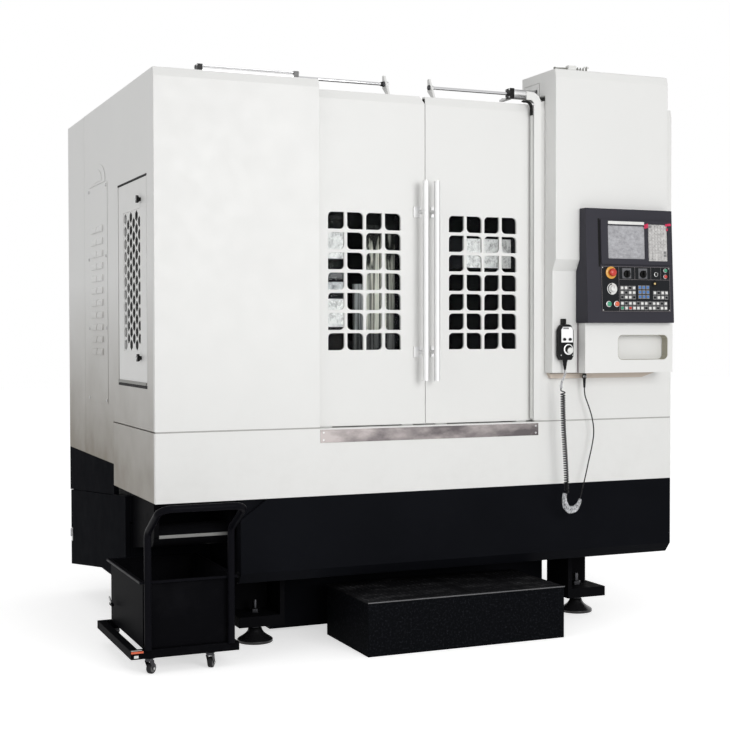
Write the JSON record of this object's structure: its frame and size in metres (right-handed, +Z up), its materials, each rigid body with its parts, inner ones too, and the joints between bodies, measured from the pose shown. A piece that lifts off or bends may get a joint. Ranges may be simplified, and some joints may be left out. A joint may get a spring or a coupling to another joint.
{
  "type": "vertical lathe",
  "caption": "Enclosed vertical lathe on levelling feet, with sliding windowed doors, an operator tower with a control panel and pendant, a step and a chip cart.",
  "frame": {"origin": "middle of the footprint, on the floor", "axes": "+X along the front to the right as the operator sees it, +Y to the back, +Z up"},
  "size_m": [2.905, 2.358, 2.84],
  "materials": {
    "white_paint": "fine semi-gloss machine enamel",
    "brushed_sill": "brushed, scuffed",
    "window_glass": "smoked",
    "handle_aluminium": "satin",
    "chromed_rod": "polished",
    "cylinder_aluminium": "anodised",
    "black_plastic": "moulded",
    "beige_paint": "semi-gloss",
    "machined_iron": "machined",
    "grey_casting": "painted casting",
    "fitting_grey": "plated",
    "panel_black": "satin, fine texture",
    "screen_grey": "display, switched off",
    "key_plastic": "moulded keys",
    "cord_black": "jacket",
    "black_paint": "semi-gloss",
    "tread_plate": "chequered, worn",
    "foot_steel": "zinc plated",
    "caster_rubber": "moulded"
  },
  "bodies": {
    "machine": {"left_front_cover": "white_paint", "right_front_cover": "white_paint", "front_skirt": "white_paint", "left_skirt": "white_paint", "left_side_wall": "white_paint", "left_rear_wall": "white_paint", "left_bay": "white_paint", "right_bay": "white_paint", "column_block": "white_paint", "chamber_roof": "white_paint", "base_deck": "white_paint", "side_boxes": "white_paint", "tower_shell": "white_paint", "console_box": "white_paint", "sill_strip": "brushed_sill", "left_cylinder": "cylinder_aluminium", "right_cylinder": "cylinder_aluminium", "pendant_holder": "black_plastic", "hand_pendant": "black_plastic", "cord_gland": "black_plastic", "panel_controls": "black_plastic", "tower_base_strip": "beige_paint", "work_table": "machined_iron", "tool_ram": "machined_iron", "cross_rail": "grey_casting", "roof_fittings": "fitting_grey", "control_panel": "panel_black", "button_plate": "panel_black", "display_screen": "screen_grey", "keypad": "key_plastic", "cord_lead": "cord_black", "cord_coil": "cord_black", "front_apron": "black_paint", "bed": "black_paint", "bed_legs": "black_paint", "coolant_tank": "black_paint", "side_plate": "black_paint", "side_tank": "black_paint", "chip_chute": "black_paint", "step_box": "black_paint", "cart_tray": "black_paint", "cart_frame": "black_paint", "cart_handle": "black_paint", "step_treads": "tread_plate", "levelling_feet": "foot_steel", "caster_forks": "foot_steel", "caster_wheels": "caster_rubber"},
    "left_leaf": {"left_door": "white_paint", "left_door_glass": "window_glass", "left_door_handle": "handle_aluminium", "left_door_rod": "chromed_rod"},
    "right_leaf": {"right_door": "white_paint", "right_door_glass": "window_glass", "right_door_handle": "handle_aluminium", "right_door_rod": "chromed_rod"},
    "service_leaf": {"service_door": "white_paint", "service_grille": "white_paint", "service_knobs": "black_plastic"}
  },
  "joints": [
    {"name": "left_door_slide", "type": "slide", "parent": "machine", "child": "left_leaf", "axis": [-1, 0, 0], "range_m": [0, 0.4]},
    {"name": "right_door_slide", "type": "slide", "parent": "machine", "child": "right_leaf", "axis": [1, 0, 0], "range_m": [0, 0.4]},
    {"name": "service_door_hinge", "type": "hinge", "parent": "machine", "child": "service_leaf", "pos_m": [-1.3, -0.1295, 1.262], "axis": [0, 0, -1], "range_deg": [0, 90]}
  ]
}
